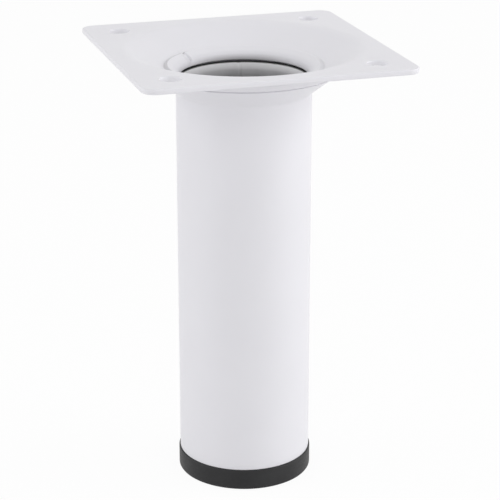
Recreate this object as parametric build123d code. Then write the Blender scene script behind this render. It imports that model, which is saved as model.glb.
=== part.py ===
from build123d import *
import os
from math import cos, radians, sin, tan

# A furniture leg: a steel tube with a flared head, welded under a dished plate, on a push-in plastic foot.
# Sizes are millimetres and angles degrees. The leg stands on its foot: the origin is the middle of the
# foot's base, +Z points up through the tube, and the plate's sides run along X and Y.

# Whole leg
leg_height = 100.0  # from the floor to the plate's upper face

# Mounting plate
plate_side = 60.0
plate_corner_radius = 3.0
plate_thickness = 1.2
screw_hole_inset = 7.5  # from the plate's sides to the middle of a hole
screw_hole_diameter = 4.5

# Dish pressed into the plate, with a raised ring round its opening
dish_width = 10.7  # from the tube's outside to where the dish's slope would meet the plate's upper face
dish_slope = 27.5  # below the plate's upper face
dish_bend_radius = 4.0  # inside of the bend, under the plate
ring_reach = 1.9  # from the tube's outside to the ring's outer edge
ring_height = 0.8  # above the dish
ring_draft = 0.4  # lean of the ring's outer wall
nose_radius = 2.6  # of the bend from the ring down into the opening
lip_slope = 85.0  # of the ring where it ends in the opening

# Tube
tube_diameter = 30.0
tube_wall = 0.9
flare_slope = 37.5  # of the head's outside, below the plate's upper face
flare_bend_radius = 3.8  # outside of the tube
flare_reach = 6.7  # from the tube's outside to the head's rim
flare_rim = 0.9  # thickness of the head at its rim
weld_gap = 0.05  # between the head and the dish
mouth_gap = 0.3  # between the tube's mouth and the ring's lip

# Foot
foot_rim_height = 4.8
foot_rim_overhang = 0.3  # past the tube's outside
foot_base_chamfer = 0.4
foot_base_thickness = 3.0  # under the spigot's hollow
spigot_length = 14.0
spigot_wall = 1.6  # at the thin end of a barb
barb_count = 2
barb_reach = 1.5  # from the thin end of a barb to its edge
barb_clearance = 0.05  # between a barb's edge and the tube's inside

# Radii that follow from the sizes above
tube_radius = tube_diameter / 2
bore_radius = tube_radius - tube_wall
dish_radius = tube_radius + dish_width

# The bend between the plate's flat part and the dish
dish_top_bend = dish_bend_radius + plate_thickness
flat_radius = dish_radius + dish_top_bend * tan(radians(dish_slope / 2))
dish_bend_middle = Vector(flat_radius, leg_height - dish_top_bend)


def dish_height(radius, depth):
    """Height of the dish's slope at a radius, at a depth into the sheet."""
    drop = (dish_radius - radius) * tan(radians(dish_slope)) + depth / cos(radians(dish_slope))
    return leg_height - drop


def bend_point(middle, distance, slope):
    """Point of a section on a bend: at a distance from the bend's middle, where the sheet has a slope."""
    return middle + Vector(-sin(radians(slope)), cos(radians(slope))) * distance


def bend(middle, distance, first_slope, last_slope):
    """Arc of a section round a bend's middle, from one slope of the sheet to another."""
    return ThreePointArc(
        bend_point(middle, distance, first_slope),
        bend_point(middle, distance, (first_slope + last_slope) / 2),
        bend_point(middle, distance, last_slope),
    )


# The nose: the ring's bend down into the opening, which is as wide as the tube's bore and ends in the lip
nose_middle_radius = bore_radius + nose_radius
nose_middle = Vector(nose_middle_radius, dish_height(nose_middle_radius, nose_radius - ring_height))
middle_to_underside = nose_radius - ring_height - plate_thickness
middle_to_lip_end = middle_to_underside / cos(radians(lip_slope - dish_slope))
lip_under = bend_point(nose_middle, middle_to_lip_end, lip_slope)

# The head: its rim and seat lie under the dish, its outside runs down to a bend, its mouth is under the lip
seat_depth = plate_thickness + weld_gap
rim_inside_radius = tube_radius + flare_reach - flare_rim * sin(radians(flare_slope))
rim_inside = Vector(rim_inside_radius, dish_height(rim_inside_radius, seat_depth))
rim_outside = bend_point(rim_inside, -flare_rim, flare_slope)
flare_middle_radius = tube_radius + flare_bend_radius
flare_drop = (rim_outside.X - flare_middle_radius) * tan(radians(flare_slope))
flare_bend_drop = flare_bend_radius / cos(radians(flare_slope))
flare_middle = Vector(flare_middle_radius, rim_outside.Y - flare_drop - flare_bend_drop)
mouth_height = lip_under.Y - mouth_gap
mouth_width = (mouth_height - dish_height(bore_radius, seat_depth)) / tan(radians(dish_slope))
seat_inside = Vector(bore_radius + mouth_width, mouth_height)


def turned(section_line):
    """Solid of revolution about the tube's axis, from a closed line in the XZ plane."""
    return revolve(Plane.XZ * make_face(section_line), Axis.Z)


def dish_sheet():
    """The dish and the ring round its opening, from the flat part's edge down to the lip."""
    up_slope = Vector(cos(radians(dish_slope)), sin(radians(dish_slope)))
    into_sheet = Vector(sin(radians(dish_slope)), -cos(radians(dish_slope)))
    ring_radius = tube_radius + ring_reach
    ring_edge = Vector(ring_radius, dish_height(ring_radius, -ring_height))
    ring_foot = ring_edge + up_slope * ring_draft + into_sheet * ring_height

    flat_bend_top = bend(dish_bend_middle, dish_top_bend, 0, dish_slope)
    nose = bend(nose_middle, nose_radius, dish_slope, lip_slope)
    flat_bend_under = bend(dish_bend_middle, dish_bend_radius, dish_slope, 0)
    section_line = [
        flat_bend_top,
        Line(flat_bend_top @ 1, ring_foot),
        Line(ring_foot, ring_edge),
        Line(ring_edge, nose @ 0),
        nose,
        Line(nose @ 1, lip_under),
        Line(lip_under, flat_bend_under @ 0),
        flat_bend_under,
        Line(flat_bend_under @ 1, flat_bend_top @ 0),
    ]
    return turned(section_line)


def make_mounting_plate():
    """Square plate with rounded corners, dished in the middle and open to the tube."""
    plate_plane = Plane.XY.offset(leg_height)
    outline = RectangleRounded(plate_side, plate_side, plate_corner_radius)
    blank = extrude(plate_plane * outline, -plate_thickness)
    flat_part = blank - extrude(plate_plane * Circle(flat_radius), -plate_thickness)
    trim = extrude(plate_plane * outline, -leg_height)
    plate = flat_part + (dish_sheet() & trim)

    screw_spacing = plate_side - 2 * screw_hole_inset
    for place in GridLocations(screw_spacing, screw_spacing, 2, 2):
        plate -= plate_plane * place * extrude(Circle(screw_hole_diameter / 2), -leg_height)
    return plate


def make_leg_tube():
    """Straight tube from the foot's rim up to a flared head, which is seated under the dish."""
    foot_outside = Vector(tube_radius, foot_rim_height)
    foot_inside = Vector(bore_radius, foot_rim_height)
    mouth = Vector(bore_radius, mouth_height)
    outside_bend = bend(flare_middle, flare_bend_radius, 90, flare_slope)
    section_line = [
        Line(foot_outside, outside_bend @ 0),
        outside_bend,
        Line(outside_bend @ 1, rim_outside),
        Line(rim_outside, rim_inside),
        Line(rim_inside, seat_inside),
        Line(seat_inside, mouth),
        Line(mouth, foot_inside),
        Line(foot_inside, foot_outside),
    ]
    return turned(section_line)


def make_foot_cap():
    """Glide that closes the tube's lower end, with a hollow barbed spigot inside the tube."""
    edge_radius = bore_radius - barb_clearance
    thin_radius = edge_radius - barb_reach
    hollow_radius = thin_radius - spigot_wall
    spigot_top = foot_rim_height + spigot_length
    barb_height = spigot_length / barb_count

    foot = extrude(Circle(tube_radius + foot_rim_overhang), foot_rim_height)
    foot = chamfer(foot.edges().sort_by(Axis.Z)[0], foot_base_chamfer)
    for step in range(barb_count):
        foot += Pos(0, 0, foot_rim_height + step * barb_height) * Cone(
            edge_radius, thin_radius, barb_height, align=(Align.CENTER, Align.CENTER, Align.MIN)
        )
    hollow = extrude(Plane.XY.offset(foot_base_thickness) * Circle(hollow_radius), spigot_top)
    return foot - hollow


def main():
    os.makedirs("parts", exist_ok=True)
    pieces = {
        "mounting_plate": make_mounting_plate(),
        "leg_tube": make_leg_tube(),
        "foot_cap": make_foot_cap(),
    }
    for name, piece in pieces.items():
        export_step(piece, f"parts/{name}.step")
        print(name, f"{piece.volume:.1f} mm3")


main()
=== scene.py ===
# %% [markdown]
# # A white furniture leg
# This lesson dresses a short furniture leg: a flared steel tube under a dished square plate, on a black
# plastic foot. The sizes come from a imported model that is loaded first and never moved. Everything made
# here lies in the same frame, in metres, with the foot's base at the origin and the tube along +Z.

# %% Load the frame
import math

import bmesh
import bpy
from mathutils import Matrix, Vector


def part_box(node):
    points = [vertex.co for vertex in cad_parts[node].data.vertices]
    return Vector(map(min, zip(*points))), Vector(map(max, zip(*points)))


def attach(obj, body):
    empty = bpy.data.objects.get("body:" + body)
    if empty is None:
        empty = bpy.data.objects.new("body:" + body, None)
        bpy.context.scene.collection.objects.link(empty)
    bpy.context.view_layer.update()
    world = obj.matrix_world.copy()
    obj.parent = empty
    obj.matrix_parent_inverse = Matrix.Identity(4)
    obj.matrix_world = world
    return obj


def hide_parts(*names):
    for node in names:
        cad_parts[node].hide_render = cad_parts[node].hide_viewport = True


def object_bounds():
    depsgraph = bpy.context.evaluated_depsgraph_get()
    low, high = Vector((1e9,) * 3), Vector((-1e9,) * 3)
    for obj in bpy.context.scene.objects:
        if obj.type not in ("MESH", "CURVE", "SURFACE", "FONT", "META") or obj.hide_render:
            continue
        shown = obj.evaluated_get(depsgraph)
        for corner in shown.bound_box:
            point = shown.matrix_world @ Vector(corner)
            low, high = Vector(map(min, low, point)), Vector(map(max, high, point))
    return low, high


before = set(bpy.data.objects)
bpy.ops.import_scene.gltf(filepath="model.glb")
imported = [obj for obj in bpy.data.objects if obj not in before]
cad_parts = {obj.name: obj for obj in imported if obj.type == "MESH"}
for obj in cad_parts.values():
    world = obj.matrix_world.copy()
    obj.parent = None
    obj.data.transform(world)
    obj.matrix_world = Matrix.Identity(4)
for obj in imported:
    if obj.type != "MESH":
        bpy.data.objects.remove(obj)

cad_low, cad_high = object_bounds()
scene = bpy.context.scene
scene.view_settings.view_transform = "Standard"
MM = 0.001
print("frame", sorted(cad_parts), "size in mm", [round(x / MM, 2) for x in cad_high - cad_low])

# %% [markdown]
# ## The camera
# The photograph looks down on the plate from the front, a little to the left of the plate's own middle
# line. A camera can be aimed by eye, or placed by the few numbers that a photographer would note: how far
# it stands from the tube's axis, how high it is above the plate, how far it is turned round the leg and how
# far it is tilted. Those numbers are used here, so the view can be changed one step at a time.

# %% Place the camera
leg_height = cad_high.z
camera_distance = 392.34 * MM
camera_rise = 94.12 * MM
camera_turn = math.radians(17.04)
camera_tilt = math.radians(19.81)
camera_pan = math.radians(0.194)
focal_pixels = 1838.0
frame_pixels = 500
sensor_width = 36.0

camera_data = bpy.data.cameras.new("camera")
camera_data.sensor_width = sensor_width
camera_data.lens = focal_pixels / frame_pixels * sensor_width
camera = bpy.data.objects.new("camera", camera_data)
scene.collection.objects.link(camera)
camera.location = (
    -camera_distance * math.sin(camera_turn),
    -camera_distance * math.cos(camera_turn),
    leg_height + camera_rise,
)
camera.rotation_euler = (math.pi / 2 - camera_tilt, 0, -(camera_turn + camera_pan))
scene.camera = camera
print("camera lens", round(camera_data.lens, 1), "mm, at", [round(x, 3) for x in camera.location])

# %% [markdown]
# ## Sections of sheet metal
# The plate's dish and the tube's flare are turned shapes, so each is fully known from its section: a line
# of points, each with a radius and a height. A straight run needs only its ends, and a few points between
# them keep its faces short. A bend is an arc round its middle, from one slope of the sheet to another, and
# a cut edge gets a small round where the coat has built up. A few short helpers make these stretches, and
# every section below is a chain of them.

# %% Helpers for sections
round_steps = 4


def bend_point(middle, distance, slope):
    """Point at a distance from a bend's middle, where the sheet has a slope."""
    return middle + distance * Vector((-math.sin(slope), math.cos(slope)))


def bend(middle, distance, first_slope, last_slope, steps):
    """Points round a bend's middle, from one slope of the sheet to another."""
    slopes = [first_slope + (last_slope - first_slope) * i / steps for i in range(steps + 1)]
    return [bend_point(middle, distance, slope) for slope in slopes]


def run(start, end, steps):
    """Points between the ends of a straight run."""
    return [start.lerp(end, i / steps) for i in range(1, steps)]


def rounded(before, corner, after, radius):
    """Points that round a corner between two straight runs."""
    back = (before - corner).normalized()
    ahead = (after - corner).normalized()
    half_angle = back.angle(ahead) / 2
    middle = corner + (back + ahead).normalized() * radius / math.sin(half_angle)
    start = corner + back * radius / math.tan(half_angle) - middle
    end = corner + ahead * radius / math.tan(half_angle) - middle
    shares = [i / round_steps for i in range(round_steps + 1)]
    return [middle + start.lerp(end, share).normalized() * radius for share in shares]


print("a round has", round_steps, "steps")

# %% [markdown]
# A section becomes a piece with the spin operator, which copies its points round the tube's axis and joins
# them with faces. Spin doesn't know which side is outside, so the seam is merged and the normals are worked
# out again before the mesh is kept. Edges that stay sharp are marked, so that smooth shading doesn't smear
# round them.

# %% Helpers for turned pieces
merge_distance = 0.0005 * MM
sharp_angle = math.radians(38)


def spin_section(mesh, section, steps, closed=False):
    """Turn a section about the tube's axis."""
    points = [mesh.verts.new((point.x, 0, point.y)) for point in section]
    ends = points[1:] + points[:1] if closed else points[1:]
    lines = [mesh.edges.new(pair) for pair in zip(points, ends)]
    bmesh.ops.spin(
        mesh,
        geom=points + lines,
        cent=(0, 0, 0),
        axis=(0, 0, 1),
        angle=math.tau,
        steps=steps,
        use_merge=True,
    )
    bmesh.ops.remove_doubles(mesh, verts=mesh.verts, dist=merge_distance)
    for face in mesh.faces:
        face.smooth = True


def make_piece(name, node, mesh):
    """Point the faces outwards, put the mesh in the scene and let it stand for its node."""
    bmesh.ops.recalc_face_normals(mesh, faces=mesh.faces)
    for edge in mesh.edges:
        edge.smooth = not (edge.is_manifold and edge.calc_face_angle() > sharp_angle)
    data = bpy.data.meshes.new(name)
    mesh.to_mesh(data)
    open_edges = sum(1 for edge in mesh.edges if not edge.is_manifold)
    mesh.free()
    piece = bpy.data.objects.new(name, data)
    scene.collection.objects.link(piece)
    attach(piece, "root")
    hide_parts(node)
    print(name, len(data.polygons), "faces,", open_edges, "open edges")
    return piece


print("edges stay sharp over", round(math.degrees(sharp_angle)), "degrees")

# %% [markdown]
# ## The mounting plate
# The real plate is stamped from sheet steel: a wide dish, and in it a raised ring that bends down into the
# opening. Where the dish starts, both sides of the sheet turn about the same middle, so that bend is known
# from its inner radius and the thickness.

# %% Sizes of the plate
plate_low, plate_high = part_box("mounting_plate")
tube_low, tube_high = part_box("leg_tube")
plate_half_side = (plate_high.x - plate_low.x) / 2
plate_corner_radius = 3.0 * MM
plate_thickness = 1.2 * MM
plate_edge_round = 0.3 * MM
screw_hole_radius = 2.25 * MM
screw_hole_inset = 7.5 * MM
screw_hole_offset = plate_half_side - screw_hole_inset
tube_radius = 15.0 * MM
tube_wall = 0.9 * MM
bore_radius = tube_radius - tube_wall
print("holes", round(2 * screw_hole_offset / MM, 2), "mm apart")
print("bore", round(2 * bore_radius / MM, 2), "mm wide")

# %% Sizes of the dish and its ring
dish_width = 10.7 * MM
dish_radius = tube_radius + dish_width
dish_slope = math.radians(27.5)
dish_bend_radius = 4.0 * MM
dish_top_bend = dish_bend_radius + plate_thickness
flat_radius = dish_radius + dish_top_bend * math.tan(dish_slope / 2)
dish_bend_middle = Vector((flat_radius, leg_height - dish_top_bend))
ring_reach = 1.9 * MM
ring_radius = tube_radius + ring_reach
ring_height = 0.8 * MM
ring_draft = 0.4 * MM
nose_radius = 2.6 * MM
lip_slope = math.radians(85.0)


def dish_height(radius, depth):
    """Height of the dish's slope at a radius, at a depth into the sheet."""
    return leg_height - (dish_radius - radius) * math.tan(dish_slope) - depth / math.cos(dish_slope)


nose_middle_radius = bore_radius + nose_radius
nose_middle = Vector((nose_middle_radius, dish_height(nose_middle_radius, nose_radius - ring_height)))
print("flat part starts", round(flat_radius / MM, 2), "mm from the axis")

# %% Turn the dish and its ring
flat_ring = 0.2 * MM
dish_steps = 480
top_bend_steps = 10
under_bend_steps = 8
nose_steps = 16
slope_steps = 12
ring_top_steps = 5
ring_foot_round = 0.25 * MM
ring_edge_round = 0.3 * MM
lip_round = 0.2 * MM
lip_trim = 2 * lip_round / nose_radius

up_slope = Vector((math.cos(dish_slope), math.sin(dish_slope)))
into_sheet = Vector((math.sin(dish_slope), -math.cos(dish_slope)))
ring_edge = Vector((ring_radius, dish_height(ring_radius, -ring_height)))
ring_foot = ring_edge + up_slope * ring_draft + into_sheet * ring_height
bend_top = bend(dish_bend_middle, dish_top_bend, 0, dish_slope, top_bend_steps)
bend_under = bend(dish_bend_middle, dish_bend_radius, dish_slope, 0, under_bend_steps)
nose = bend(nose_middle, nose_radius, dish_slope, lip_slope - lip_trim, nose_steps)
lip_top = bend_point(nose_middle, nose_radius, lip_slope)
middle_to_underside = nose_radius - ring_height - plate_thickness
middle_to_lip_end = middle_to_underside / math.cos(lip_slope - dish_slope)
lip_under = bend_point(nose_middle, middle_to_lip_end, lip_slope)
dish_section = (
    [Vector((flat_radius + flat_ring, leg_height))]
    + bend_top
    + run(bend_top[-1], ring_foot, slope_steps)
    + rounded(bend_top[-1], ring_foot, ring_edge, ring_foot_round)
    + rounded(ring_foot, ring_edge, nose[0], ring_edge_round)
    + run(ring_edge, nose[0], ring_top_steps)[1:]
    + nose
    + rounded(nose[-1], lip_top, lip_under, lip_round)
    + rounded(lip_top, lip_under, bend_under[0], lip_round)
    + run(lip_under, bend_under[0], slope_steps)
    + bend_under
    + [Vector((flat_radius + flat_ring, leg_height - plate_thickness))]
)
plate_mesh = bmesh.new()
spin_section(plate_mesh, dish_section, dish_steps)
print("dish", len(plate_mesh.faces), "faces from", len(dish_section), "points")

# %% [markdown]
# The stamped ring isn't perfect: one short nick runs across it, with a small burr beside it. A cut would
# leave edges that catch the light too sharply, so the points of the upper side that lie along a short line
# are lowered or lifted instead, less and less towards its edges.

# %% Nick the ring
def lift_across(mesh, angle, half_width, inner_radius, outer_radius, lift):
    """Lift the dish's upper side along a short line that points away from the axis."""
    for vertex in mesh.verts:
        radius = math.hypot(vertex.co.x, vertex.co.y)
        turn = math.remainder(math.atan2(vertex.co.y, vertex.co.x) - angle, math.tau)
        across = radius * turn / half_width
        along = (2 * radius - inner_radius - outer_radius) / (outer_radius - inner_radius)
        upper = vertex.co.z > dish_height(radius, plate_thickness / 2)
        if upper and abs(across) < 1 and abs(along) < 1:
            vertex.co.z += lift * (1 - across**2) ** 2 * (1 - along**4)


nick_angle = math.radians(127.0)
nick = {"half_width": 0.5 * MM, "inner_radius": 14.3 * MM, "outer_radius": 18.0 * MM, "lift": -1.0 * MM}
burr_angle = nick_angle + math.radians(3.6)
burr = {"half_width": 0.6 * MM, "inner_radius": 14.2 * MM, "outer_radius": 16.2 * MM, "lift": 0.35 * MM}
lift_across(plate_mesh, nick_angle, **nick)
lift_across(plate_mesh, burr_angle, **burr)
print("nick at", round(math.degrees(nick_angle)), "degrees")

# %% [markdown]
# ## The flat part of the plate
# Round the dish the plate is flat, with round corners and four screw holes. Its rims are made first: a loop
# of edges on the upper face is carried over a small round, down the wall and back under. The same helper
# makes the outer rim from a square with bevelled corners, and each hole from a circle. The flat faces are
# then filled between all the loops that lie in their plane.

# %% Helpers for rims and flat faces
def rim_moves(depth, radius):
    """Moves outwards and down that carry a loop over a rounded edge, down a wall and back under it."""
    turns = [math.pi / 2 * i / round_steps for i in range(round_steps + 1)]
    upper = [(radius * math.sin(turn), radius * (1 - math.cos(turn))) for turn in turns]
    lower = [(radius * math.cos(turn), depth - radius * (1 - math.sin(turn))) for turn in turns]
    places = upper + lower
    return [(b[0] - a[0], b[1] - a[1]) for a, b in zip(places, places[1:])]


def extrude_rim(mesh, loop, outwards, moves):
    """Extrude a loop of edges along a rim's moves, with the way outwards given at each point."""
    for reach, drop in moves:
        made = bmesh.ops.extrude_edge_only(mesh, edges=loop)["geom"]
        for vertex in (item for item in made if isinstance(item, bmesh.types.BMVert)):
            vertex.co += outwards(vertex.co) * reach - Vector((0, 0, drop))
        for face in (item for item in made if isinstance(item, bmesh.types.BMFace)):
            face.smooth = True
        loop = [item for item in made if isinstance(item, bmesh.types.BMEdge) and item.is_boundary]


def fill_flat(mesh, height):
    """Fill the flat face between all the open loops that lie at a height."""
    loops = [
        edge
        for edge in mesh.edges
        if edge.is_boundary and all(abs(vertex.co.z - height) < merge_distance for vertex in edge.verts)
    ]
    bmesh.ops.triangle_fill(mesh, use_beauty=True, edges=loops, normal=(0, 0, 1))


wall_moves = rim_moves(plate_thickness, plate_edge_round)
print("a rim takes", len(wall_moves), "moves")


# %% Make the outer rim
corner_steps = 10


def from_outline_middle(point):
    """Way outwards from the plate's rounded square outline."""
    limit = plate_half_side - plate_corner_radius
    inner = Vector((max(-limit, min(limit, point.x)), max(-limit, min(limit, point.y)), point.z))
    return (point - inner).normalized()


rim_start = Matrix.Translation((0, 0, leg_height))
square = bmesh.ops.create_grid(
    plate_mesh, x_segments=1, y_segments=1, size=plate_half_side - plate_edge_round, matrix=rim_start
)["verts"]
outline = bmesh.ops.bevel(
    plate_mesh,
    geom=square,
    offset=plate_corner_radius - plate_edge_round,
    segments=corner_steps,
    profile=0.5,
    affect="VERTICES",
    material=-1,
)
outline_face = max(
    (face for vertex in outline["verts"] for face in vertex.link_faces), key=lambda face: face.calc_area()
)
outline_edges = list(outline_face.edges)
bmesh.ops.delete(plate_mesh, geom=[outline_face], context="FACES_ONLY")
extrude_rim(plate_mesh, outline_edges, from_outline_middle, wall_moves)
print("outer rim", len(outline_edges), "edges round")

# %% Make the screw holes and fill the flat faces
hole_steps = 64
for side_x in (-1, 1):
    for side_y in (-1, 1):
        hole_middle = Vector((side_x * screw_hole_offset, side_y * screw_hole_offset, leg_height))

        def to_hole_middle(point, middle=hole_middle):
            """Way out of the sheet, towards the middle of its hole."""
            return Vector((middle.x - point.x, middle.y - point.y, 0)).normalized()

        hole = bmesh.ops.create_circle(
            plate_mesh,
            segments=hole_steps,
            radius=screw_hole_radius + plate_edge_round,
            matrix=Matrix.Translation(hole_middle),
        )["verts"]
        hole_edges = list({edge for vertex in hole for edge in vertex.link_edges})
        extrude_rim(plate_mesh, hole_edges, to_hole_middle, wall_moves)
fill_flat(plate_mesh, leg_height)
fill_flat(plate_mesh, leg_height - plate_thickness)
plate = make_piece("plate", "mounting_plate", plate_mesh)

# %% [markdown]
# ## The tube
# The tube is rolled from steel strip and welded along a seam. Its upper end is a flared head that is seated
# under the dish, and its mouth stops just short of the ring's lip, which leaves a thin dark slit. A single
# line with a Solidify modifier would give a wall too, but not a flat seat and mouth. So the section is
# closed, and it is put together from the head's rim, which follows the dish, the bend below it and the
# straight wall.

# %% Shape the head
flare_slope = math.radians(37.5)
flare_bend_radius = 1.2 * MM
flare_rim = 0.9 * MM
weld_gap = 0.05 * MM
flare_bend_steps = 16

seat_depth = plate_thickness + weld_gap
rim_inside_radius = tube_high.x - flare_rim * math.sin(flare_slope)
rim_inside = Vector((rim_inside_radius, dish_height(rim_inside_radius, seat_depth)))
rim_outside = bend_point(rim_inside, -flare_rim, flare_slope)
flare_middle_radius = tube_radius + flare_bend_radius
flare_drop = (rim_outside.x - flare_middle_radius) * math.tan(flare_slope)
flare_bend_drop = flare_bend_radius / math.cos(flare_slope)
flare_middle = Vector((flare_middle_radius, rim_outside.y - flare_drop - flare_bend_drop))
outside_bend = bend(flare_middle, flare_bend_radius, math.pi / 2, flare_slope, flare_bend_steps)
print("head", round((tube_high.z - flare_middle.y) / MM, 2), "mm high")

# %% [markdown]
# The head's rim is welded to the dish. A low bead runs round it, and the coat leaves a narrow dark groove
# under the bead. Both are only about a millimetre wide, but the groove is the one dark line on the outside
# of the tube.

# %% Add the weld bead and its groove
bead_reach = 0.35 * MM
bead_lean = 0.7 * MM
groove_width = 0.95 * MM
groove_depth = 0.6 * MM

bead_low = rim_outside + Vector((bead_reach, 0))
bead_high_radius = bead_low.x + bead_lean
bead_high = Vector((bead_high_radius, dish_height(bead_high_radius, seat_depth)))
down_flare = Vector((-math.cos(flare_slope), -math.sin(flare_slope)))
into_head = Vector((-math.sin(flare_slope), math.cos(flare_slope)))
groove_low = rim_outside + down_flare * groove_width
groove = [groove_low, groove_low + into_head * groove_depth, rim_outside + into_head * groove_depth]
print("bead reaches", round((bead_high.x - rim_outside.x) / MM, 2), "mm past the rim")

# %% Turn the tube
tube_steps = 384
flare_steps = 8
seat_steps = 8
outside_steps = 24
bore_steps = 32
mouth_gap = 0.3 * MM
mouth_round = 0.2 * MM
bead_round = 0.2 * MM
tube_end_round = 0.15 * MM
foot_rim_height = tube_low.z

mouth = Vector((bore_radius, lip_under.y - mouth_gap))
mouth_width = (mouth.y - dish_height(bore_radius, seat_depth)) / math.tan(dish_slope)
seat_inside = mouth + Vector((mouth_width, 0))
foot_outside = Vector((tube_radius, foot_rim_height))
foot_inside = Vector((bore_radius, foot_rim_height))
tube_section = (
    rounded(foot_inside, foot_outside, outside_bend[0], tube_end_round)
    + run(foot_outside, outside_bend[0], outside_steps)
    + outside_bend
    + run(outside_bend[-1], groove_low, flare_steps)
    + groove
    + rounded(rim_outside, bead_low, bead_high, bead_round)
    + rounded(bead_low, bead_high, seat_inside, tube_end_round)
    + run(bead_high, seat_inside, seat_steps)
    + [seat_inside]
    + rounded(seat_inside, mouth, foot_inside, mouth_round)
    + run(mouth, foot_inside, bore_steps)
    + rounded(mouth, foot_inside, foot_outside, tube_end_round)
)
tube_mesh = bmesh.new()
spin_section(tube_mesh, tube_section, tube_steps, closed=True)
print("mouth at", round(mouth.y / MM, 2), "mm, from", len(tube_section), "points")

# %% [markdown]
# The weld along the tube leaves a bead inside. It is raised along one line of the bore, on the points whose
# normals look at the axis.

# %% Raise the seam inside the tube
seam_angle = math.radians(78.0)
seam_height = 0.25 * MM
seam_half_width = 0.7 * MM
facing_axis = -0.5

bmesh.ops.recalc_face_normals(tube_mesh, faces=tube_mesh.faces)
for vertex in tube_mesh.verts:
    radius = math.hypot(vertex.co.x, vertex.co.y)
    radial = Vector((vertex.co.x, vertex.co.y, 0)) / radius
    from_seam = math.atan2(vertex.co.y, vertex.co.x) - seam_angle
    off_line = radius * abs(math.remainder(from_seam, math.tau)) / seam_half_width
    if vertex.normal.dot(radial) < facing_axis and off_line < 1:
        vertex.co -= radial * seam_height * (1 - off_line * off_line) ** 2
tube = make_piece("tube", "leg_tube", tube_mesh)

# %% [markdown]
# ## The foot
# The foot is one moulding: a rim a little wider than the tube, closed below, and a hollow barbed spigot
# that grips the bore. It is turned like the rest, from a section that starts and ends on the axis.

# %% Turn the foot
foot_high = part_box("foot_cap")[1]
foot_radius = foot_high.x
spigot_top = foot_high.z
foot_base_round = 0.45 * MM
foot_rim_round = 0.25 * MM
foot_base_thickness = 3.0 * MM
barb_count = 2
barb_clearance = 0.05 * MM
barb_reach = 1.5 * MM
spigot_wall = 1.6 * MM
foot_steps = 256

barb_edge_radius = bore_radius - barb_clearance
barb_thin_radius = barb_edge_radius - barb_reach
hollow_radius = barb_thin_radius - spigot_wall
barb_height = (spigot_top - foot_rim_height) / barb_count
barb_heights = [foot_rim_height + barb_height * step for step in range(barb_count)]
base_middle = Vector((0, 0))
base_corner = Vector((foot_radius, 0))
rim_corner = Vector((foot_radius, foot_rim_height))
rim_inner_corner = Vector((barb_edge_radius, foot_rim_height))
barbs = [
    point
    for height in barb_heights
    for point in (Vector((barb_edge_radius, height)), Vector((barb_thin_radius, height + barb_height)))
]
foot_section = (
    [base_middle]
    + rounded(base_middle, base_corner, rim_corner, foot_base_round)
    + rounded(base_corner, rim_corner, rim_inner_corner, foot_rim_round)
    + barbs
    + [
        Vector((hollow_radius, spigot_top)),
        Vector((hollow_radius, foot_base_thickness)),
        Vector((0, foot_base_thickness)),
    ]
)
foot_mesh = bmesh.new()
spin_section(foot_mesh, foot_section, foot_steps)
foot = make_piece("foot", "foot_cap", foot_mesh)

# %% [markdown]
# ## Finishes
# Powder coat, bare steel and moulded plastic all have a fine grain and a slow change of tone, at different
# scales. That is one node group, with the coordinates and the two scales as its inputs, placed in each
# material with its own values.

# %% The grain group
fine_detail = 2.0
slow_detail = 3.0


def make_grain_group():
    """Node group with a fine grain for bumps and gloss, and a slow tone for colour, both from 0 to 1."""
    group = bpy.data.node_groups.new("surface_grain", "ShaderNodeTree")
    group.interface.new_socket(name="Vector", in_out="INPUT", socket_type="NodeSocketVector")
    for name in ("Fine Scale", "Slow Scale"):
        group.interface.new_socket(name=name, in_out="INPUT", socket_type="NodeSocketFloat")
    for name in ("Grain", "Tone"):
        group.interface.new_socket(name=name, in_out="OUTPUT", socket_type="NodeSocketFloat")
    inputs = group.nodes.new("NodeGroupInput")
    outputs = group.nodes.new("NodeGroupOutput")
    noises = (("Grain", "Fine Scale", fine_detail), ("Tone", "Slow Scale", slow_detail))
    for output, scale, detail in noises:
        noise = group.nodes.new("ShaderNodeTexNoise")
        noise.inputs["Detail"].default_value = detail
        group.links.new(inputs.outputs["Vector"], noise.inputs["Vector"])
        group.links.new(inputs.outputs[scale], noise.inputs["Scale"])
        group.links.new(noise.outputs["Fac"], outputs.inputs[output])
    return group


grain_group = make_grain_group()
print("group", grain_group.name, [item.name for item in grain_group.interface.items_tree])


# %% Helpers for materials
def new_material(name):
    """Material with its node tree and its Principled shader."""
    material = bpy.data.materials.new(name)
    material.use_nodes = True
    shader = material.node_tree.nodes["Principled BSDF"]
    return material, material.node_tree, shader


def add_grain(tree, fine_scale, slow_scale, stretch=(1, 1, 1)):
    """Place the grain group on Object coordinates, stretched along the axes."""
    coordinates = tree.nodes.new("ShaderNodeTexCoord")
    mapping = tree.nodes.new("ShaderNodeMapping")
    mapping.inputs["Scale"].default_value = stretch
    grain = tree.nodes.new("ShaderNodeGroup")
    grain.node_tree = grain_group
    grain.inputs["Fine Scale"].default_value = fine_scale
    grain.inputs["Slow Scale"].default_value = slow_scale
    tree.links.new(coordinates.outputs["Object"], mapping.inputs["Vector"])
    tree.links.new(mapping.outputs["Vector"], grain.inputs["Vector"])
    return grain


def add_bump(tree, shader, height, distance, strength):
    """Raise the surface a little by a height from 0 to 1."""
    bump = tree.nodes.new("ShaderNodeBump")
    bump.inputs["Distance"].default_value = distance
    bump.inputs["Strength"].default_value = strength
    tree.links.new(height, bump.inputs["Height"])
    tree.links.new(bump.outputs["Normal"], shader.inputs["Normal"])


print("the leg's materials are built on", grain_group.name)

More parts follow.
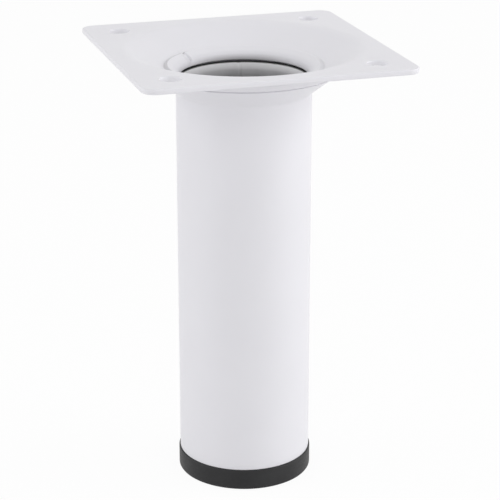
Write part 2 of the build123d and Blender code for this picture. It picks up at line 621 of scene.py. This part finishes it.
# %% [markdown]
# A finish that changes over a piece needs numbers to steer it: a share that grows from one place to
# another, a blend of two colours, or two shares that hold together. Each is one node, made by a helper, so
# that a material reads as a list of its layers. Noise seldom leaves the middle of its range, so that part
# is stretched unless other limits are given. A Mix node has a pair of inputs called A and B for each kind
# of data, so the pair for colours is picked by number.

# %% Helpers that blend
noise_low = 0.3
noise_high = 0.7
mix_colour_inputs = (6, 7)
mix_colour_output = 2


def between(tree, share, low, high, start=noise_low, end=noise_high):
    """Number from low to high as a share goes from start to end."""
    node = tree.nodes.new("ShaderNodeMapRange")
    for name, value in (("From Min", start), ("From Max", end), ("To Min", low), ("To Max", high)):
        node.inputs[name].default_value = value
    tree.links.new(share, node.inputs["Value"])
    return node.outputs["Result"]


def blend_colours(tree, share, first, second):
    """Colour between two, each given as three numbers or as another node's output."""
    node = tree.nodes.new("ShaderNodeMix")
    node.data_type = "RGBA"
    tree.links.new(share, node.inputs["Factor"])
    for number, colour in zip(mix_colour_inputs, (first, second)):
        if isinstance(colour, bpy.types.NodeSocket):
            tree.links.new(colour, node.inputs[number])
        else:
            node.inputs[number].default_value = (*colour, 1)
    return node.outputs[mix_colour_output]


def multiply(tree, first, second):
    """Product of two numbers, each another node's output."""
    node = tree.nodes.new("ShaderNodeMath")
    node.operation = "MULTIPLY"
    tree.links.new(first, node.inputs[0])
    tree.links.new(second, node.inputs[1])
    return node.outputs[0]


print("noise is stretched from", noise_low, "to", noise_high)

# %% [markdown]
# The places that steer a finish are measured on the object: the height above the floor, and the distance
# along a direction away from the tube's axis. They stay with the leg when the camera moves.

# %% Helpers that measure places
def direction_at(degrees):
    """Direction away from the tube's axis, at an angle from +X."""
    return (math.cos(math.radians(degrees)), math.sin(math.radians(degrees)), 0)


def add_height(tree):
    """Height above the floor."""
    coordinates = tree.nodes.new("ShaderNodeTexCoord")
    axes = tree.nodes.new("ShaderNodeSeparateXYZ")
    tree.links.new(coordinates.outputs["Object"], axes.inputs["Vector"])
    return axes.outputs["Z"]


def add_place(tree, direction):
    """Place along a direction through the tube's axis."""
    coordinates = tree.nodes.new("ShaderNodeTexCoord")
    place = tree.nodes.new("ShaderNodeVectorMath")
    place.operation = "DOT_PRODUCT"
    place.inputs[1].default_value = direction
    tree.links.new(coordinates.outputs["Object"], place.inputs[0])
    return place.outputs["Value"]


print("a quarter turn from +X points along", [round(x, 3) for x in direction_at(90)])

# %% [markdown]
# The powder coat is a cool white with a satin gloss and a very shallow orange peel. Its tone hardly
# changes, but a coat with no change at all would look like plastic.

# %% White powder coat
coat_colour = (0.80, 0.793, 0.83)
coat_dull_colour = (0.785, 0.778, 0.815)
coat_fine_scale = 900
coat_slow_scale = 70
coat_roughness = (0.36, 0.44)
peel_depth = 0.02 * MM
peel_strength = 0.35


def new_coat(name):
    """Material with the coat's satin gloss and orange peel, and the grain that can tone its colour."""
    material, tree, shader = new_material(name)
    grain = add_grain(tree, coat_fine_scale, coat_slow_scale)
    tree.links.new(between(tree, grain.outputs["Grain"], *coat_roughness), shader.inputs["Roughness"])
    add_bump(tree, shader, grain.outputs["Grain"], peel_depth, peel_strength)
    return material, tree, shader, grain


def make_powder_coat():
    """Satin white powder coat with a slow change of tone."""
    material, tree, shader, grain = new_coat("white_powder_coat")
    tone = between(tree, grain.outputs["Tone"], 0, 1)
    colour = blend_colours(tree, tone, coat_dull_colour, coat_colour)
    tree.links.new(colour, shader.inputs["Base Color"])
    return material


powder_coat = make_powder_coat()
plate.data.materials.append(powder_coat)
tube.data.materials.append(powder_coat)
print("coat", [round(x, 3) for x in coat_colour])

# %% [markdown]
# On the nose of the ring the white is painted grey towards the lip, most on one side, and the lip's edge is
# painted dark: painted shade of the bend and of the thin slit under it. The whole plate could share one
# material with a mask, but a second material on these faces alone keeps both of them short.

# %% Painted shade on the nose
# The grey nose and the dark lip are painted shade.
nose_shade_colour = (0.42, 0.417, 0.43)
slit_shade_colour = (0.05, 0.05, 0.05)
nose_shine = 0.1
nose_shade_start = nose_middle.y + 1.65 * MM
nose_shade_end = nose_middle.y + 0.3 * MM
lip_edge_end = nose_middle.y + 0.15 * MM
shaded_nose_side = direction_at(73.0)
nose_side_start = 9.0 * MM
nose_side_end = 14.0 * MM
nose_least_share = 0.35


def make_shaded_nose():
    """Powder coat with painted shade: grey with depth, most on one side, down to a lip painted dark for the
    slit.
    """
    material, tree, shader, _ = new_coat("nose_painted_shade")
    height = add_height(tree)
    place = add_place(tree, shaded_nose_side)
    side = between(tree, place, nose_least_share, 1, nose_side_start, nose_side_end)
    # Painted shade: grey towards the lip, more on one side.
    thin = multiply(tree, side, between(tree, height, 0, 1, nose_shade_start, nose_shade_end))
    # Painted shade of the slit: the lip's edge turns dark.
    edge = between(tree, height, 0, 1, nose_shade_end, lip_edge_end)
    colour = blend_colours(tree, thin, coat_colour, nose_shade_colour)
    colour = blend_colours(tree, edge, colour, slit_shade_colour)
    tree.links.new(colour, shader.inputs["Base Color"])
    shader.inputs["Specular IOR Level"].default_value = nose_shine
    return material


plate.data.materials.append(make_shaded_nose())
print("nose coat from", round(nose_shade_start / MM, 2), "down to", round(lip_edge_end / MM, 2), "mm")

# %% [markdown]
# The ring's outer wall carries painted shade for the crease at its foot: it is painted darker on one side,
# a little darker on the opposite side, and darker on the edge beside the nick. One colour for the whole
# wall would draw a ring round the opening, so the shaded stretches fade in along a direction.

# %% Painted shade on the ring's wall
wall_shade_colour = (0.61, 0.605, 0.63)
shaded_stretches = (
    # direction, the most painted shade there, and where along the direction it starts and is darkest
    (direction_at(163.0), 1.0, 13.5 * MM, 17.0 * MM),
    (direction_at(163.0), 0.5, -16.0 * MM, -17.3 * MM),
    (direction_at(138.0), 1.0, 15.9 * MM, 16.5 * MM),
)


def make_shaded_wall():
    """Powder coat with painted shade on some stretches of the ring's wall."""
    material, tree, shader, _ = new_coat("ring_wall_painted_shade")
    colour = coat_colour
    for direction, most, start, end in shaded_stretches:
        share = between(tree, add_place(tree, direction), 0, most, start, end)
        colour = blend_colours(tree, share, colour, wall_shade_colour)
    tree.links.new(colour, shader.inputs["Base Color"])
    return material


plate.data.materials.append(make_shaded_wall())
# The nose and the ring's wall take the painted shade materials.
painted_shade_faces = 0
for face in plate.data.polygons:
    radius = math.hypot(face.center.x, face.center.y)
    upper = face.center.z > dish_height(radius, plate_thickness / 2)
    if radius < nose[0].x:
        face.material_index = 1
    elif upper and ring_radius - ring_edge_round < radius < ring_foot.x:
        face.material_index = 2
    painted_shade_faces += face.material_index > 0
print("thin coat on", painted_shade_faces, "faces")

# %% [markdown]
# Inside the tube is bare grey steel with drawing streaks along the tube, and white overspray near the
# mouth.
# The fade from white down to grey is partly overspray and partly painted shade of the deeper bore. A
# brighter white band just under the mouth and a lighter stretch on one side are painted light, and the top
# of the wall is painted dark as painted shade of the slit. Stretching the grain along Z gives the streaks,
# and the height above the floor gives the fade.

# %% Bare steel inside the tube, with painted light and shade
steel_dark = (0.22, 0.22, 0.225)
steel_light = (0.36, 0.36, 0.365)
# The fade to grey lower down is partly overspray and partly painted shade of the deeper bore.
overspray_and_highlight_colour = (0.80, 0.795, 0.815)
overspray_and_shade_start = 88.5 * MM
overspray_and_shade_end = 92.8 * MM
# Painted highlight: one side of the bore wall is lighter, where a side lamp shines into the bore.
lit_bore_side = direction_at(163.0)
bore_highlight_start = 3.0 * MM
bore_highlight_end = 12.0 * MM
bore_highlight_share = 0.4
# Painted light: a brighter white band on the wall just under the mouth.
mouth_highlight_colour = (0.95, 0.945, 0.96)
mouth_highlight_start = 91.2 * MM
mouth_highlight_end = 92.4 * MM
# Painted shade of the slit: the top of the bore wall turns dark.
mouth_edge_start = mouth.y - 0.25 * MM
mouth_edge_end = mouth.y - 0.05 * MM
steel_fine_scale = 1500
steel_slow_scale = 260
streak_stretch = (1, 1, 0.04)
steel_roughness = (0.38, 0.55)
steel_metallic = 0.8
streak_depth = 0.01 * MM
streak_strength = 0.4


def make_bore_steel_and_painted_light():
    """Bare drawn steel with streaks along the tube, under overspray near the mouth, with painted light and
    shade.
    """
    material, tree, shader = new_material("bare_steel_and_painted_light")
    grain = add_grain(tree, steel_fine_scale, steel_slow_scale, streak_stretch)
    height = add_height(tree)
    # Partly overspray, partly painted shade lower in the bore.
    spray_and_shade = between(tree, height, 0, 1, overspray_and_shade_start, overspray_and_shade_end)
    # Painted light just under the mouth.
    coat = between(tree, height, 0, 1, mouth_highlight_start, mouth_highlight_end)
    side = add_place(tree, lit_bore_side)
    # Painted highlight on one side of the bore.
    bore_highlight = between(tree, side, 0, bore_highlight_share, bore_highlight_start, bore_highlight_end)
    # Painted shade of the slit.
    edge = between(tree, height, 0, 1, mouth_edge_start, mouth_edge_end)
    colour = blend_colours(tree, between(tree, grain.outputs["Tone"], 0, 1), steel_dark, steel_light)
    shares = (spray_and_shade, coat, bore_highlight, edge)
    layers = (overspray_and_highlight_colour, mouth_highlight_colour, overspray_and_highlight_colour, slit_shade_colour)
    for share, layer in zip(shares, layers):
        colour = blend_colours(tree, share, colour, layer)
    tree.links.new(colour, shader.inputs["Base Color"])
    tree.links.new(between(tree, spray_and_shade, steel_metallic, 0, 0, 1), shader.inputs["Metallic"])
    tree.links.new(between(tree, grain.outputs["Grain"], *steel_roughness), shader.inputs["Roughness"])
    add_bump(tree, shader, grain.outputs["Grain"], streak_depth, streak_strength)
    return material


tube.data.materials.append(make_bore_steel_and_painted_light())
bare_faces = 0
for face in tube.data.polygons:
    radius = math.hypot(face.center.x, face.center.y)
    on_mouth = radius < seat_inside.x and face.center.z > mouth_edge_end
    face.material_index = int(radius < bore_radius + tube_end_round or on_mouth)
    bare_faces += face.material_index
print("bare steel on", bare_faces, "faces")

# %% [markdown]
# The foot is charcoal rather than black: moulded plastic with a fine matt grain that scatters light. One
# flat black would hide its round form, so two close tones and a shallow bump are used.

# %% Black plastic
plastic_colour = (0.021, 0.021, 0.022)
plastic_pale_colour = (0.030, 0.030, 0.031)
plastic_shine = 0.25
plastic_fine_scale = 2200
plastic_slow_scale = 120
plastic_roughness = (0.46, 0.58)
moulded_depth = 0.02 * MM
moulded_strength = 0.5


def make_black_plastic():
    """Matt charcoal plastic with a fine moulded grain."""
    material, tree, shader = new_material("black_plastic")
    grain = add_grain(tree, plastic_fine_scale, plastic_slow_scale)
    tone = between(tree, grain.outputs["Tone"], 0, 1)
    colour = blend_colours(tree, tone, plastic_colour, plastic_pale_colour)
    tree.links.new(colour, shader.inputs["Base Color"])
    tree.links.new(between(tree, grain.outputs["Grain"], *plastic_roughness), shader.inputs["Roughness"])
    shader.inputs["Specular IOR Level"].default_value = plastic_shine
    add_bump(tree, shader, grain.outputs["Grain"], moulded_depth, moulded_strength)
    return material


foot.data.materials.append(make_black_plastic())
print("plastic", plastic_colour)

# %% [markdown]
# ## Floor, room and lamps
# The leg stands in a white tent of light. To the camera, and in reflections, the floor and the room are
# plain white, by the Light Path node. What falls on the leg comes from the dimmer room light and a few soft
# lamps, so the white has nothing to do with how brightly the leg is lit. The floor keeps a share of its own
# shading, which holds the shadow.

# %% White room
room_light = 0.56


def white_to_eye(tree, share):
    """Share of white for rays from the camera, and for reflections of the background."""
    light_path = tree.nodes.new("ShaderNodeLightPath")
    total = light_path.outputs["Is Camera Ray"]
    for name in ("Is Glossy Ray", "Is Transmission Ray"):
        larger = tree.nodes.new("ShaderNodeMath")
        larger.operation = "MAXIMUM"
        tree.links.new(total, larger.inputs[0])
        tree.links.new(light_path.outputs[name], larger.inputs[1])
        total = larger.outputs[0]
    scaled = tree.nodes.new("ShaderNodeMath")
    scaled.operation = "MULTIPLY"
    scaled.inputs[1].default_value = share
    tree.links.new(total, scaled.inputs[0])
    return scaled.outputs[0]


def mix_shaders(tree, share, first, second, output):
    """Mix two shaders into an output node."""
    mix = tree.nodes.new("ShaderNodeMixShader")
    tree.links.new(share, mix.inputs[0])
    tree.links.new(first, mix.inputs[1])
    tree.links.new(second, mix.inputs[2])
    tree.links.new(mix.outputs[0], output.inputs["Surface"])


world = bpy.data.worlds.new("white_room")
scene.world = world
world.use_nodes = True
room = world.node_tree
dim_room = room.nodes["Background"]
dim_room.inputs["Color"].default_value = (1, 1, 1, 1)
dim_room.inputs["Strength"].default_value = room_light
white_room = room.nodes.new("ShaderNodeBackground")
white_room.inputs["Color"].default_value = (1, 1, 1, 1)
room_output = room.nodes["World Output"]
mix_shaders(room, white_to_eye(room, 1), dim_room.outputs[0], white_room.outputs[0], room_output)
print("room light", room_light)

# %% White floor
floor_half_side = 1.6
floor_colour = (0.9, 0.9, 0.9)
floor_white_share = 0.94

floor_mesh = bmesh.new()
bmesh.ops.create_grid(floor_mesh, x_segments=1, y_segments=1, size=floor_half_side)
floor_data = bpy.data.meshes.new("floor")
floor_mesh.to_mesh(floor_data)
floor_mesh.free()
floor = bpy.data.objects.new("floor", floor_data)
scene.collection.objects.link(floor)

floor_material, floor_tree, floor_shader = new_material("white_floor")
floor_shader.inputs["Base Color"].default_value = (*floor_colour, 1)
floor_shader.inputs["Roughness"].default_value = 1.0
floor_shader.inputs["Specular IOR Level"].default_value = 0.0
floor_white = floor_tree.nodes.new("ShaderNodeEmission")
mix_shaders(
    floor_tree,
    white_to_eye(floor_tree, floor_white_share),
    floor_shader.outputs[0],
    floor_white.outputs[0],
    floor_tree.nodes["Material Output"],
)
floor.data.materials.append(floor_material)
print("floor", 2 * floor_half_side, "m square")


# %% Soft lamps
def add_softbox(name, place, aim, size, watts):
    """Square area lamp at a place, facing a point."""
    lamp_data = bpy.data.lights.new(name, "AREA")
    lamp_data.shape = "SQUARE"
    lamp_data.size = size
    lamp_data.energy = watts
    lamp = bpy.data.objects.new(name, lamp_data)
    lamp.location = place
    lamp.rotation_euler = (Vector(aim) - Vector(place)).to_track_quat("-Z", "Y").to_euler()
    scene.collection.objects.link(lamp)


lamp_distance = 0.9
softbox_size = 0.8
top_softbox_size = 0.9
lamp_aim_share = 0.6
lamp_aim = (0, 0, leg_height * lamp_aim_share)
side_lamp_rise = Vector((0, 0, 0.35))
front_lamp_rise = Vector((0, 0, 0.55))
top_lamp_rise = Vector((0, 0, 1.1))
camera_right = Vector((math.cos(camera_turn), -math.sin(camera_turn), 0))
camera_back = Vector((-math.sin(camera_turn), -math.cos(camera_turn), 0))
lamp_places = {
    # place, size and watts
    "right": (camera_right * lamp_distance + side_lamp_rise, softbox_size, 4.3),
    "left": (-camera_right * lamp_distance + side_lamp_rise, softbox_size, 2.6),
    "front": (camera_back * lamp_distance + front_lamp_rise, softbox_size, 1.7),
    "above": (top_lamp_rise, top_softbox_size, 1.0),
}
for lamp_name, (lamp_place, lamp_size, lamp_watts) in lamp_places.items():
    add_softbox(lamp_name, lamp_place, lamp_aim, lamp_size, lamp_watts)
print("lamps", sorted(lamp_places))
